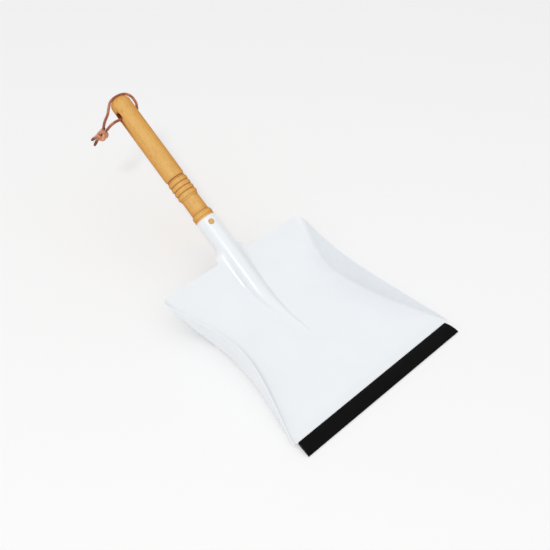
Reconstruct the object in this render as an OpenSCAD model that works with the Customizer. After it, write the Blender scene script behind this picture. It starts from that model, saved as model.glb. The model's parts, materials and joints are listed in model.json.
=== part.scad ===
// Dustpan pressed from one sheet of steel, with a turned wooden handle pegged
// into its socket, a rubber lip on its front edge and a leather hanging thong.
// The pan stands level on the flat of its floor. +Y points from the lip to the
// handle, +Z up. The origin is on the ground, under the middle of that flat.

/* [Pan] */
// Width across the front corners
pan_front_w = 235; // [200:1:300]
// Width across the rims at the waist, where the pan is narrowest
pan_waist_w = 178; // [150:1:215]
// Width across the rear corners
pan_back_w = 210; // [175:1:260]
// Length from the front edge to the back edge
pan_len = 214; // [178:1:260]
// Height of the rims at the waist
rim_h = 32.5; // [27:0.5:40]
// Height of the raised back edge
back_h = 31; // [26:0.5:37]
// Height of the rims at the front corners
front_rim_h = 4; // [3.5:0.5:8]
// Thickness of the sheet
sheet_t = 1; // [0.8:0.1:1.4]
// Inner radius of the fold between the floor and a side wall
fold_r = 4; // [2:0.5:8]
// Inner radius of that fold at the rear, which rounds the rear corners
ear_fold_r = 10; // [5:0.5:13]
// Radius of the bend between the floor and the ramp behind it
ramp_r = 110; // [60:5:130]

/* [Socket and rib] */
// Slope of the ramp, the socket and the handle
tilt = 31.5; // [26:0.5:36]
// Outer diameter of the rolled socket
socket_d = 23.4; // [21:0.2:28]
// Length of the socket behind the back edge
socket_len = 52; // [43:1:65]
// Distance from the front edge to the tip of the rib
rib_tip = 92; // [75:1:110]
// Radius of the rib's crest at its tip. At the knee it is the socket's radius.
rib_tip_r = 3.5; // [2.5:0.5:9]
// Height of the rib in front of its knee, where its low front part ends
rib_low_h = 3.4; // [2:0.2:5]
// Radius of the inner corners between the socket and the back edge
shoulder_r = 4; // [2:1:8]
// Distance behind the back edge at which the rolled sheet meets itself
seam_from = 28; // [22:1:34]

/* [Handle] */
// Length of the handle outside the socket
handle_len = 171; // [145:1:210]
// Diameter of the grip
grip_d = 24; // [20:0.5:29]
// Diameter of the neck
neck_d = 21; // [17:0.5:24]
// Length of the shank inside the socket
shank_len = 36; // [25:1:38]
// Clearance between the shank and the socket, on the radius
shank_gap = 0.15; // [0.1:0.05:0.3]
// Number of turned beads
bead_n = 4; // [2:1:5]
// Distance from one bead to the next
bead_pitch = 6; // [5:0.5:7]
// Diameter of the hole for the thong
hole_d = 10; // [8:0.5:12]
// Distance from the hole to the end of the handle
hole_inset = 21; // [15:1:28]
// Diameter of the wooden peg
peg_d = 6.5; // [5:0.5:8]
// Distance from the socket's mouth to the peg
peg_inset = 8; // [6:0.5:12]
// Turn of the peg about the handle, away from straight up
peg_turn = 8; // [-20:1:20]

/* [Lip] */
// Distance from each front corner of the pan to the end of the rubber lip
lip_inset = 6.5; // [3:0.5:15]
// How much wider the lip is along its front edge, on each side
lip_flare = 3; // [0:0.5:6]
// Depth of the lip from front to rear
lip_depth = 17; // [14:0.5:24]
// Height of the lip at its rear edge
lip_h = 4.2; // [3.8:0.1:6]
// Thickness of the rubber under the sheet
lip_under = 1.4; // [1:0.1:1.8]

/* [Thong] */
// Diameter of the leather thong
thong_d = 3.2; // [2.4:0.1:3.4]

/* [Hidden] */
$fn = 64;

// The thong's route about the middle of the handle's hole, as across, along
// the handle and up from it. It runs from the knot through the hole, round
// the end of the handle and back to the knot.
thong_route = [
    [-33, -5.5, -4.5], [-26.5, -3.5, -1], [-19, -2.5, 0.8], [-12, -2.8, 0.4],
    [-6, -3, 0], [0, -3, 0], [5, -3, 0], [9, -2.5, 0],
    [12.5, -0.5, 0], [15, 3, 0], [17, 7, 0], [17.5, 11.5, 0],
    [17, 15.7, 0.5], [15, 19.3, 1], [12, 21.8, 1.5], [7, 23.5, 1.5],
    [1.5, 23.8, 1.5], [-4, 23.1, 1], [-10, 20.9, 0], [-14.8, 16.3, -1.5],
    [-20, 10.5, -3], [-27.5, 5, -4.5], [-34, -1.5, -5]
];
thong_sides = 8;
knot_at = [-38.8, -4.9, -7.5];
// Slope and heading of the knot, from the loop to the tails
knot_turn = [0, -127.7, 14.9];
knot_r = 6.5;
knot_h = 10;
knot_round = 2.5;
tail_len = 15;
tail_gap = 1.8;
tail_splay = 8;

// Places along the pan, measured from its front edge
waist_y = 0.53 * pan_len;
joggle_run = 12;
tongue_len = 9;
back_rise = back_h - sheet_t;
bend_run = ramp_r * sin(tilt);
bend_rise = ramp_r * (1 - cos(tilt));
bend_start = pan_len - bend_run - (back_rise - bend_rise) / tan(tilt);
origin_y = (joggle_run + bend_start) / 2;

// The socket's axis runs a little under the back edge
socket_sink = 2.3;
socket_r = socket_d / 2;
bore_r = socket_r - sheet_t;
mouth = [
    0,
    pan_len + socket_len * cos(tilt) + socket_sink * sin(tilt),
    back_h + socket_len * sin(tilt) - socket_sink * cos(tilt)
];
// Width of the open seam under the socket
seam_gap = 0.5;
rib_fillet = 3;
rib_flare = 14;
rib_flare_run = 43;
rib_min_w = 4;
crest_join = 3;
// Lengths of the crest's straight part and of the bend in front of it
knee_run = 39;
low_run = 32;
shift_run = 40;
min_wall = 0.5;
wall_lean = 10;
// Width of the rubber lip along its rear edge
lip_w = pan_front_w - 2 * lip_inset;
tongue_inset = 2;
peg_proud = 0.3;
hole_s = handle_len - hole_inset;

// The handle's turned profile
foot_proud = 0.3;
foot_h = 2.6;
ring_at = 4.8;
ring_proud = 0.8;
first_bead = 34;
bead_r = 4.5;
bead_proud = 0.2;
groove_depth = 1.1;
grip_round = 4.5;
end_r = 8;

// The lip's crown is highest a little in front of its rear edge
crown_r = 23;
crown_inset = 5;

// ---- Curves of the pan -------------------------------------------------

// A step from 0 to 1 with level ends
function smooth(t) = let (c = min(1, max(0, t))) c * c * (3 - 2 * c);

// Value at y of the curve between two knots, each [place, value, slope]
function between(a, b, y) =
    let (h = b[0] - a[0], t = (y - a[0]) / h)
    (2 * t * t * t - 3 * t * t + 1) * a[1] + (t * t * t - 2 * t * t + t) * h * a[2]
    + (3 * t * t - 2 * t * t * t) * b[1] + (t * t * t - t * t) * h * b[2];

// Height that the ramp adds to the floor
function ramp_z(y) =
    y < bend_start ? 0
    : y < bend_start + bend_run ? ramp_r - sqrt(ramp_r * ramp_r - (y - bend_start) * (y - bend_start))
    : bend_rise + (y - bend_start - bend_run) * tan(tilt);

// Upper face of the floor. The front edge is lifted by the rubber under it.
function floor_z(y) = sheet_t + lip_under * (1 - smooth(y / joggle_run)) + ramp_z(y);

function rim_z(y) =
    y < waist_y ? between([0, front_rim_h, 0.3], [waist_y, rim_h, 0], y)
    : between([waist_y, rim_h, 0], [pan_len, back_h, 0], y);

function rim_x(y) =
    y < waist_y ? between([0, pan_front_w / 2, -0.31], [waist_y, pan_waist_w / 2, 0], y)
    : between([waist_y, pan_waist_w / 2, 0], [pan_len, pan_back_w / 2, 0.2], y);

// Outward lean of a side wall, which is steepest at the waist
function lean(y) =
    let (t = y / pan_len)
    wall_lean * smooth((t - 0.42) / 0.3) - 2 * smooth(t / 0.15);

// Inner radius of the fold
function fold_at(y) = fold_r + (ear_fold_r - fold_r) * smooth((y / pan_len - 0.65) / 0.3);

// Height of the rib's crest above the ramp, square to it
crest_h = socket_r - socket_sink;

// Crest of the rib. Behind the knee it is level with the top of the socket, in
// front of it the crest bends down to a low part that ends at the tip.
crest_end_y = pan_len - crest_join;
crest_end_z = floor_z(crest_end_y) + crest_h / cos(tilt);
knee_y = crest_end_y - knee_run;
knee_z = crest_end_z - knee_run * tan(tilt);
low_y = knee_y - low_run;
low_z = floor_z(low_y) + rib_low_h;
function crest_z(y) =
    y < rib_tip ? 0
    : y < low_y ? between([rib_tip, sheet_t, 0.14], [low_y, low_z, 0.2], y)
    : y < knee_y ? between([low_y, low_z, 0.2], [knee_y, knee_z, tan(tilt)], y)
    : crest_end_z + (y - crest_end_y) * tan(tilt);
function crest_r(y) = rib_tip_r + (socket_r - rib_tip_r) * smooth((y - rib_tip) / (knee_y - rib_tip));

// An upright cut through the sloping rib is taller than a square one
function stretch(y) = 1 + (1 / cos(tilt) - 1) * smooth((y - rib_tip) / (pan_len - rib_tip));
function rib_height(y) = min(0.9 * crest_r(y), max(0, crest_z(y) - floor_z(y)) / stretch(y));
function rib_fillet_at(y) = rib_fillet + rib_flare * pow(min(1, max(0, 1 + (y - pan_len) / rib_flare_run)), 2);

// Half the rib's width, out to where its fillet meets the floor
function rib_w(y) =
    let (h = rib_height(y), s = crest_r(y) + rib_fillet_at(y))
    sqrt(max(0, 2 * s * h - h * h));

// Height of the rib above the floor at x: a round crest, then a hollow fillet
function rib_z(x, y) =
    let (
        h = rib_height(y),
        r = crest_r(y),
        fillet = rib_fillet_at(y),
        w = rib_w(y),
        turn_x = w * r / (r + fillet)
    )
    x >= w ? 0
    : stretch(y) * (
        x < turn_x ? h - r + sqrt(r * r - x * x)
        : fillet - sqrt(max(0, fillet * fillet - (w - x) * (w - x)))
    );

// ---- Rolled socket -----------------------------------------------------
// Behind the back edge the rib rolls shut into a tube. Its cut, square to the
// socket, is the rib's own cut at first and a full circle at the end.

foot_fillet = rib_fillet + rib_flare;
foot_turn = acos(1 - crest_h / (socket_r + foot_fillet));
foot_w = rib_w(pan_len);
crest_arc = socket_r * foot_turn * PI / 180;
fillet_arc = foot_fillet * foot_turn * PI / 180;
roll_arc = socket_r * PI - seam_gap / 2;

// Step along an arc: across and down, from a heading, at a curvature
function arc_step(heading, curve, len) =
    abs(curve) < 0.0001 ? len * [cos(heading), sin(heading)]
    : let (end = heading + curve * len * 180 / PI)
    [sin(end) - sin(heading), cos(heading) - cos(end)] / curve;

// Place in the cut at distance u from the crest, when it is shut by the share w
function rolled(u, w) =
    let (
        tube = 1 / socket_r,
        fillet_curve = w * tube - (1 - w) / foot_fillet,
        a = min(u, crest_arc),
        b = min(max(u - crest_arc, 0), fillet_arc),
        c = max(u - crest_arc - fillet_arc, 0),
        turn_a = a * tube * 180 / PI,
        turn_b = turn_a + b * fillet_curve * 180 / PI,
        p = arc_step(0, tube, a) + arc_step(turn_a, fillet_curve, b) + arc_step(turn_b, w * tube, c)
    )
    [p[0], crest_h - p[1]];

// ---- Grid of the pan's upper face --------------------------------------

rib_cols = 14;
floor_cols = 8;
wall_cols = 9;
half_cols = rib_cols + floor_cols + wall_cols;
rows = 42;
roll_rows = 10;
last_row = rows + roll_rows + 1;

// Place across the rib of a share of the way from its crest to its edge. The
// shares are even across it at its tip, and even along its cut at the back.
function rib_x(share, edge, y) =
    let (
        r = crest_r(y),
        fillet = rib_fillet_at(y),
        turn = asin(min(1, edge / (r + fillet))),
        on_crest = share * (r + fillet) / r,
        along = on_crest < 1 ? r * sin(on_crest * turn)
            : edge - fillet * sin((1 - share) * (r + fillet) / fillet * turn)
    )
    edge * share + (along - edge * share) * smooth((y - rib_tip) / (pan_len - rib_tip));

// Point i of the half section at y, counted from the middle outwards: over
// the rib, across the floor, round the fold and up the wall to the rim's level
function section(i, y) =
    let (
        floor_top = floor_z(y),
        height = max(min_wall, rim_z(y) - floor_top),
        turn = 90 - lean(y),
        r = fold_at(y),
        arc_end = min(turn, acos(max(-1, 1 - height / r))),
        arc_len = r * arc_end * PI / 180,
        wall_len = max(0, (height - r * (1 - cos(turn))) / sin(turn)),
        fold_x = rim_x(y) - sheet_t - height * tan(lean(y)) - r * tan(turn / 2),
        rib_edge = max(rib_w(y), rib_min_w),
        a = i - rib_cols,
        b = a - floor_cols,
        up = (arc_len + wall_len) * b / wall_cols,
        q = min(up / r * 180 / PI, arc_end),
        w = max(0, up - arc_len)
    )
    a <= 0 ? let (x = rib_x(i / rib_cols, rib_edge, y)) [x, floor_top + rib_z(x, y)]
    : b <= 0 ? [rib_edge + (fold_x - rib_edge) * pow(a / floor_cols, 1.6), floor_top]
    : [fold_x + r * sin(q) + w * cos(turn), floor_top + r * (1 - cos(q)) + w * sin(turn)];

// How far the back edge runs out beside the socket
function edge_shift(x) =
    let (inside = min(max(foot_w + shoulder_r - x, 0), shoulder_r))
    shoulder_r - sqrt(shoulder_r * shoulder_r - inside * inside);

// Rows crowd together at the front and at the back
function row_y(j) = let (t = j / rows) pan_len * (t - 0.1 * sin(360 * t));

// Columns on each side of the middle in row j
function span(j) = j <= rows ? half_cols : rib_cols;

// Number of a grid point in the list of all points
function place(i, j) =
    (j <= rows ? j * (2 * half_cols + 1) : (rows + 1) * (2 * half_cols + 1) + (j - rows - 1) * (2 * rib_cols + 1))
    + i + span(j);

// Point of the pan: i counts from the middle, j from the front edge
function pan_point(i, j) =
    let (
        k = abs(i),
        y0 = row_y(j),
        y = y0 + edge_shift(section(k, y0)[0]) * smooth((y0 - pan_len + shift_run) / shift_run),
        p = section(k, y)
    )
    [sign(i) * p[0], y - origin_y, p[1]];

// Point of the socket: j counts on from the pan's last row, which it joins.
// The rows turn from upright to square as the tube shuts.
function socket_point(i, j) =
    let (
        k = abs(i),
        t = min(1, (j - rows) / roll_rows),
        foot = rolled(crest_arc + fillet_arc, 0),
        first = rolled((crest_arc + fillet_arc) * k / rib_cols, 0),
        start = (shoulder_r + (first[1] - foot[1]) * sin(tilt)) / cos(tilt),
        along = j == last_row ? socket_len : start + (seam_from - start) * t,
        arc = crest_arc + fillet_arc + (roll_arc - crest_arc - fillet_arc) * smooth(1.25 * t - 0.25),
        p = rolled(arc * k / rib_cols, smooth(2 * t))
    )
    [
        sign(i) * p[0],
        pan_len + along * cos(tilt) - p[1] * sin(tilt) - origin_y,
        back_h + along * sin(tilt) + p[1] * cos(tilt)
    ];

// The formed sheet. Its under face lies one thickness below the upper one, and
// the outline joins the two all the way round.
module sheet() {
    top = [
        for (j = [0 : last_row]) [
            for (i = [-span(j) : span(j)]) j <= rows ? pan_point(i, j) : socket_point(i, j)
        ]
    ];
    under = [
        for (j = [0 : last_row]) [
            for (i = [-span(j) : span(j)])
                let (
                    ahead = j < last_row && abs(i) <= span(min(j + 1, last_row)) ? j + 1 : j,
                    behind = max(j - 1, 0),
                    across = top[j][min(i + 1, span(j)) + span(j)] - top[j][max(i - 1, -span(j)) + span(j)],
                    back = top[ahead][i + span(ahead)] - top[behind][i + span(behind)],
                    n = cross(across, back)
                )
                top[j][i + span(j)] - sheet_t * n / norm(n)
        ]
    ];
    all_top = [for (row = top) each row];
    all_under = [for (row = under) each row];
    m = len(all_top);
    quads = [
        for (j = [0 : last_row - 1], i = [-span(j + 1) : span(j + 1) - 1])
            let (a = place(i, j), b = place(i + 1, j), c = place(i + 1, j + 1), d = place(i, j + 1))
            each [[a, d, c], [a, c, b], [m + a, m + b, m + c], [m + a, m + c, m + d]]
    ];
    outline = [
        for (i = [-half_cols : half_cols - 1]) place(i, 0),
        for (j = [0 : rows - 1]) place(half_cols, j),
        for (i = [half_cols : -1 : rib_cols + 1]) place(i, rows),
        for (j = [rows : last_row - 1]) place(rib_cols, j),
        for (i = [rib_cols : -1 : 1 - rib_cols]) place(i, last_row),
        for (j = [last_row : -1 : rows + 1]) place(-rib_cols, j),
        for (i = [-rib_cols : -1 : 1 - half_cols]) place(i, rows),
        for (j = [rows : -1 : 1]) place(-half_cols, j)
    ];
    edge = [
        for (k = [0 : len(outline) - 1])
            let (a = outline[k], b = outline[(k + 1) % len(outline)])
            each [[a, b, m + b], [a, m + b, m + a]]
    ];
    polyhedron(points = concat(all_top, all_under), faces = concat(quads, edge), convexity = 10);
}

// ---- Places --------------------------------------------------------------

// Puts children on the socket's axis: +Z runs from the mouth up the handle
module on_axis() {
    translate([0, mouth[1] - origin_y, mouth[2]]) rotate([tilt - 90, 0, 0]) children();
}

// A rod across the socket, where the peg goes
module peg_rod(d, len) {
    on_axis() translate([0, 0, -peg_inset]) rotate([0, 0, -peg_turn])
        rotate([90, 0, 0]) cylinder(d = d, h = len, center = true);
}

// ---- Sub-parts -------------------------------------------------------------

// Front strip of the sheet, which the lip grips. It stands a hair inside the
// sheet's two faces and reaches a little way into it.
module tongue() {
    hair = 0.05;
    reach = 0.8;
    translate([-lip_w / 2 + tongue_inset, -origin_y - tongue_len, lip_under + hair])
        cube([lip_w - 2 * tongue_inset, tongue_len + reach, sheet_t - 2 * hair]);
}

module pan() {
    color("white") difference() {
        union() {
            sheet();
            tongue();
        }
        peg_rod(peg_d, 2 * socket_d);
    }
}

// Half profile of the turned handle, radius across and length up from the
// mouth: shank, ring, neck, beads, then the grip with its rounded end
module handle_profile() {
    grip_r = grip_d / 2;
    ring_r = socket_r + ring_proud;
    bead_line = grip_r + bead_proud - bead_r;
    beads_end = first_bead + bead_pitch * (bead_n - 0.5);
    grip_from = beads_end + grip_round;
    dome_from = handle_len - end_r;
    translate([0, -shank_len]) square([bore_r - shank_gap, shank_len + 1]);
    square([socket_r + foot_proud, foot_h]);
    intersection() {
        translate([ring_r - bead_r, ring_at]) circle(r = bead_r);
        translate([0, 0.2]) square([ring_r, 2 * ring_at]);
    }
    translate([0, 2]) square([neck_d / 2, first_bead]);
    for (k = [0 : bead_n - 1])
        intersection() {
            translate([bead_line, first_bead + k * bead_pitch]) circle(r = bead_r);
            translate([0, first_bead + (k - 0.6) * bead_pitch]) square([grip_r + 1, 1.2 * bead_pitch]);
        }
    translate([0, first_bead]) square([grip_r - groove_depth, beads_end - first_bead + 2]);
    translate([grip_r - grip_round, grip_from]) circle(r = grip_round);
    translate([0, beads_end]) square([grip_r - grip_round, grip_round + 1]);
    translate([0, grip_from]) square([grip_r, dome_from - grip_from]);
    translate([grip_r - end_r, dome_from]) circle(r = end_r);
    translate([0, dome_from - 1]) square([grip_r - end_r, end_r + 1]);
}

module handle() {
    color("peru") difference() {
        on_axis() rotate_extrude() intersection() {
            handle_profile();
            translate([0, -shank_len]) square([grip_d, handle_len + shank_len]);
        }
        peg_rod(peg_d, 2 * socket_d);
        on_axis() translate([0, 0, hole_s]) rotate([0, 90, 0]) cylinder(d = hole_d, h = 2 * grip_d, center = true);
    }
}

module peg() {
    color("burlywood") peg_rod(peg_d, socket_d + 2 * peg_proud);
}

// The lip: a crowned strip whose ends are cut aslant, with a slot for the tongue
module lip() {
    color("black") difference() {
        intersection() {
            rotate([90, 0, 90]) translate([-origin_y, 0, -lip_w]) linear_extrude(2 * lip_w) intersection() {
                translate([-lip_depth, 0]) square([lip_depth, lip_h]);
                translate([-crown_inset, lip_h - crown_r]) circle(r = crown_r);
            }
            linear_extrude(lip_h + 1) translate([0, -origin_y]) polygon([
                [-lip_w / 2, 0], [-lip_w / 2 - lip_flare, -lip_depth],
                [lip_w / 2 + lip_flare, -lip_depth], [lip_w / 2, 0]
            ]);
        }
        tongue();
    }
}

// ---- Thong -----------------------------------------------------------------

function unit(v) = v / norm(v);

// A smooth curve through all the points of a route, with steps parts in each span
function through(route, steps) = [
    for (k = [0 : len(route) - 2], q = [0 : steps - 1])
        let (
            p0 = route[max(k - 1, 0)],
            p1 = route[k],
            p2 = route[k + 1],
            p3 = route[min(k + 2, len(route) - 1)],
            t = q / steps
        )
        0.5 * (2 * p1 + (p2 - p0) * t + (2 * p0 - 5 * p1 + 4 * p2 - p3) * t * t + (3 * p1 - p0 - 3 * p2 + p3) * t * t * t),
    route[len(route) - 1]
];

// A round cord along a path, with one ring of points at each place
module cord(path, d, sides) {
    last = len(path) - 1;
    rings = [
        for (k = [0 : last])
            let (
                dir = unit(path[min(k + 1, last)] - path[max(k - 1, 0)]),
                u = unit(cross(dir, [0, 0, 1])),
                v = cross(u, dir)
            )
            for (q = [0 : sides - 1])
                path[k] + d / 2 * (cos(360 * q / sides) * u + sin(360 * q / sides) * v)
    ];
    walls = [
        for (k = [0 : last - 1], q = [0 : sides - 1])
            let (a = k * sides + q, b = k * sides + (q + 1) % sides)
            each [[a, b, b + sides], [a, b + sides, a + sides]]
    ];
    caps = [
        for (q = [1 : sides - 2])
            each [[0, q + 1, q], [last * sides, last * sides + q, last * sides + q + 1]]
    ];
    polyhedron(points = rings, faces = concat(walls, caps), convexity = 6);
}

// Puts children at the middle of the handle's hole, with +Y along the handle
module at_hole() {
    translate([0, mouth[1] - origin_y, mouth[2]]) rotate([tilt, 0, 0]) translate([0, hole_s, 0]) children();
}

module thong() {
    color("sienna") at_hole() cord(through(thong_route, 2), thong_d, thong_sides);
}

// The knot's bulk lies along the two strands, and the tails leave its far end
module thong_knot() {
    color("chocolate") at_hole() translate(knot_at) rotate(knot_turn) {
        rotate_extrude() hull() {
            translate([0, -knot_h / 2]) square([1, knot_h]);
            for (side = [-1, 1])
                translate([knot_r - knot_round, side * (knot_h / 2 - knot_round)]) circle(r = knot_round);
        }
        for (side = [-1, 1])
            translate([0, side * tail_gap, 0]) rotate([-side * tail_splay, 0, 0]) cylinder(d = thong_d, h = tail_len);
    }
}

pan();
handle();
peg();
lip();
thong();
thong_knot();
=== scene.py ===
# %% [markdown]
# # A steel dustpan with a turned wooden handle
# The pan is one sheet of steel, pressed, rolled into a socket at the back and coated white. A turned handle
# is pegged into the socket, a rubber lip is pushed over the front edge, and a leather thong hangs from the
# handle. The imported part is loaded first. It fixes every size and place, and each piece made here stands
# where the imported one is. Nothing else is read, and nothing is random, so the scene is the same each time.

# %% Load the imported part
import json
import math

import bmesh
import bpy
from mathutils import Matrix, Vector, noise


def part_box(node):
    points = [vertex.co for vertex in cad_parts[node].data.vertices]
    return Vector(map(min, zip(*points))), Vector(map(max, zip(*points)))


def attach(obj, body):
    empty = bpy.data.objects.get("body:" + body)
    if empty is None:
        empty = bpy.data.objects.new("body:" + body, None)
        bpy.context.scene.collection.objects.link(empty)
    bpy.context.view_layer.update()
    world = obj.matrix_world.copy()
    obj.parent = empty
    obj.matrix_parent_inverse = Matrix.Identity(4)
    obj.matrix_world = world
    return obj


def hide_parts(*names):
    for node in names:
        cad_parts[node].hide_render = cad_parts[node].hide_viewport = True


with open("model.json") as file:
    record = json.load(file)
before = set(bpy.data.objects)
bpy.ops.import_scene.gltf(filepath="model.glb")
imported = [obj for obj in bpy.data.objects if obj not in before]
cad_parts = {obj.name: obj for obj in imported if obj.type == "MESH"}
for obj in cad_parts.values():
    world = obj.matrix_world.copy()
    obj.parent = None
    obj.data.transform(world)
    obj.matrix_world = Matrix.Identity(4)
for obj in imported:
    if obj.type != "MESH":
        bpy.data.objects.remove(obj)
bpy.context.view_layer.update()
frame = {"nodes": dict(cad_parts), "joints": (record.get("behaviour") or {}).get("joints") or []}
bpy.ops.object.select_all(action="DESELECT")
for name in frame["nodes"]:
    lowest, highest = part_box(name)
    print("packed", name, [round(v * 1000, 1) for v in highest - lowest], "mm")

# %% [markdown]
# ## Places and sizes
# Sizes are written in millimetres, as a maker would say them, and turned to metres where a mesh is made. Two
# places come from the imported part: the front edge of the steel, where the lip ends, and the hole through the
# handle, which is the hinge of the thong. The rest follows from the pan's own few dimensions.

# %% Places and sizes
MM = 0.001
FRONT_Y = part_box("lip")[1].y / MM          # the front edge of the steel
HOLE = Vector(frame["joints"][0]["pos_m"]) / MM
TILT = math.radians(31.5)                  # slope of the ramp, the socket and the handle
ALONG = Vector((0, math.cos(TILT), math.sin(TILT)))
UP = Vector((0, -math.sin(TILT), math.cos(TILT)))
HOLE_S = 150                               # from the socket's mouth to the hole, along the handle
MOUTH = HOLE - ALONG * HOLE_S


def along_handle(across, s, up):
    """A point given by its place across, along and above the handle's axis, from the socket's mouth."""
    return MOUTH + Vector((across, 0, 0)) + ALONG * s + UP * up


print("front edge at y", round(FRONT_Y, 1), "and socket's mouth at", [round(v, 1) for v in MOUTH], "mm")

# %% [markdown]
# ## Camera
# The view is from the front left and well above, so that the whole inside of the pan shows. A lens longer
# than normal keeps the near corner from looking too large. The camera is made before the thong, because a
# hanging cord is measured against what the camera sees.

# %% Camera
AZIMUTH, ELEVATION = math.radians(-44), math.radians(44)
AIM = Vector((34, 109, 0))
DISTANCE = 1000
toward_camera = Vector((
    math.sin(AZIMUTH) * math.cos(ELEVATION),
    -math.cos(AZIMUTH) * math.cos(ELEVATION),
    math.sin(ELEVATION),
))
bpy.ops.object.camera_add(location=(AIM + toward_camera * DISTANCE) * MM)
camera = bpy.context.object
camera.rotation_mode = "QUATERNION"
camera.rotation_quaternion = (-toward_camera).to_track_quat("-Z", "Y")
camera.data.sensor_width = 36
camera.data.lens = 57.4
camera.data.clip_start = 0.01
bpy.context.scene.camera = camera
print("camera at", [round(v, 3) for v in camera.location], "m, lens", round(camera.data.lens, 1), "mm")

# %% [markdown]
# ## Tools for pieces
# A Blender operator acts on all that is selected, so each step starts by selecting one piece alone. A
# modifier is applied as soon as it is set, which leaves a plain mesh. A finished piece keeps its place in its
# mesh and its object stays at the origin, so a pattern on Object coordinates never slides.


# %% Tools for pieces
def smooth(t):
    """Goes from 0 to 1 as t does, and starts and ends level."""
    t = min(1.0, max(0.0, t))
    return t * t * (3 - 2 * t)


def only(obj):
    """Makes obj the one selected and active object."""
    if bpy.context.object and bpy.context.object.mode != "OBJECT":
        bpy.ops.object.mode_set(mode="OBJECT")
    bpy.ops.object.select_all(action="DESELECT")
    obj.select_set(True)
    bpy.context.view_layer.objects.active = obj


def new_piece(name):
    """Names the primitive that was just added."""
    obj = bpy.context.object
    obj.name = obj.data.name = name
    return obj


def modify(obj, kind, **settings):
    """Adds a modifier and applies it."""
    only(obj)
    modifier = obj.modifiers.new(kind.title(), kind)
    for key, value in settings.items():
        setattr(modifier, key, value)
    bpy.ops.object.modifier_apply(modifier=modifier.name)


def put(obj, place, turn):
    """Turns a piece's mesh about the origin and moves it to its place."""
    obj.data.transform(Matrix.Translation(place) @ turn)
    obj.data.update()


def finish_piece(obj, material, body, node, angle=None):
    """Closes and shades a piece, gives it its finish and its body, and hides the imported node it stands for.

    Without an angle the whole piece is smooth. With one, edges sharper than the angle stay crisp.
    """
    only(obj)
    bpy.ops.object.mode_set(mode="EDIT")
    bpy.ops.mesh.select_all(action="SELECT")
    bpy.ops.mesh.remove_doubles(threshold=1e-6)
    bpy.ops.mesh.normals_make_consistent(inside=False)
    bpy.ops.object.mode_set(mode="OBJECT")
    if angle is None:
        bpy.ops.object.shade_smooth()
    else:
        bpy.ops.object.shade_smooth_by_angle(angle=math.radians(angle))
    obj.data.materials.clear()
    obj.data.materials.append(material)
    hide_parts(node)
    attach(obj, body)
    low = [min(v.co[k] for v in obj.data.vertices) for k in range(3)]
    high = [max(v.co[k] for v in obj.data.vertices) for k in range(3)]
    size = [round((b - a) / MM, 1) for a, b in zip(low, high)]
    print(obj.name, len(obj.data.polygons), "faces,", size, "mm")


# %% [markdown]
# ## Tools for finishes
# Colours are written as the hex values a paint chart gives. Those are sRGB, and a shader wants linear light,
# so one function turns them. One function adds any node with its settings and its links, which keeps each
# finish short enough to read from top to bottom.


# %% Tools for finishes
def linear(hex_colour):
    """An sRGB hex colour as linear red, green, blue and alpha."""
    parts = [int(hex_colour[k : k + 2], 16) / 255 for k in (1, 3, 5)]
    return [c / 12.92 if c <= 0.04045 else ((c + 0.055) / 1.055) ** 2.4 for c in parts] + [1.0]


def add(tree, kind, links=(), **settings):
    """Adds a node, sets its sockets and properties, and links (socket, source node, its output) into it."""
    node = tree.nodes.new("ShaderNode" + kind)
    for key, value in settings.items():
        if hasattr(node, key):
            setattr(node, key, value)
        else:
            node.inputs[key.replace("_", " ")].default_value = value
    for socket, source, output in links:
        tree.links.new(source.outputs[output], node.inputs[socket])
    return node


def new_material(name, hex_colour, **settings):
    """A Principled material. Returns it with its tree and its shader."""
    material = bpy.data.materials.new(name)
    material.use_nodes = True
    shader = material.node_tree.nodes["Principled BSDF"]
    shader.inputs["Base Color"].default_value = linear(hex_colour)
    for key, value in settings.items():
        shader.inputs[key.replace("_", " ")].default_value = value
    return material, material.node_tree, shader


def ramp(tree, source, output, stops):
    """A colour ramp on a source's output, from (place, hex colour) stops."""
    node = add(tree, "ValToRGB", [("Fac", source, output)])
    while len(node.color_ramp.elements) < len(stops):
        node.color_ramp.elements.new(0.5)
    for element, (at, colour) in zip(node.color_ramp.elements, stops):
        element.position = at
        element.color = linear(colour)
    return node


# A Mix node has a set of sockets for each kind of data, under the same names, so they go by number
MIX_FACTOR, NUMBER_A, NUMBER_B, COLOUR_A, COLOUR_B, COLOUR_RESULT = 0, 2, 3, 6, 7, 2
print("half grey, #808080, is", round(linear("#808080")[0], 3), "in linear light")

# %% [markdown]
# ## Powder-coated steel
# The sheet is steel under a white polyester powder coat, sprayed on dry and baked. The powder flows as it
# melts, so the coat is smooth and fairly glossy, with the faint swell called orange peel, a few millimetres
# from crest to crest. It isn't a pure white: there is a little cool grey in it. A thin clear layer gives the
# sharp line of light along the socket, and a rougher base under it the broad soft one. Fine dust in the film
# makes the gloss slightly uneven, over patches of a few centimetres.

# %% Powder-coated steel
PEEL, PATCH = 4, 40                        # mm from crest to crest of the peel, and across a patch of dust
white_coat, tree, shader = new_material(
    "white powder coat on steel", "#edf0f3", Roughness=0.36, IOR=1.5, Coat_Weight=0.5, Coat_Roughness=0.07
)
place = add(tree, "TexCoord")
peel = add(
    tree, "TexNoise", [("Vector", place, "Object")], Scale=1 / (PEEL * MM), Detail=1.5, Roughness=0.45
)
bump = add(tree, "Bump", [("Height", peel, "Fac")], Strength=0.04, Distance=0.4 * MM)
tree.links.new(bump.outputs["Normal"], shader.inputs["Normal"])
dust = add(tree, "TexNoise", [("Vector", place, "Object")], Scale=1 / (PATCH * MM), Detail=2)
gloss = add(tree, "MapRange", [("Value", dust, "Fac")], From_Min=0.3, From_Max=0.7, To_Min=0.33, To_Max=0.39)
tree.links.new(gloss.outputs["Result"], shader.inputs["Roughness"])
tint = ramp(tree, dust, "Fac", [(0.3, "#ecf0f3"), (0.7, "#eff2f5")])
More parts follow.
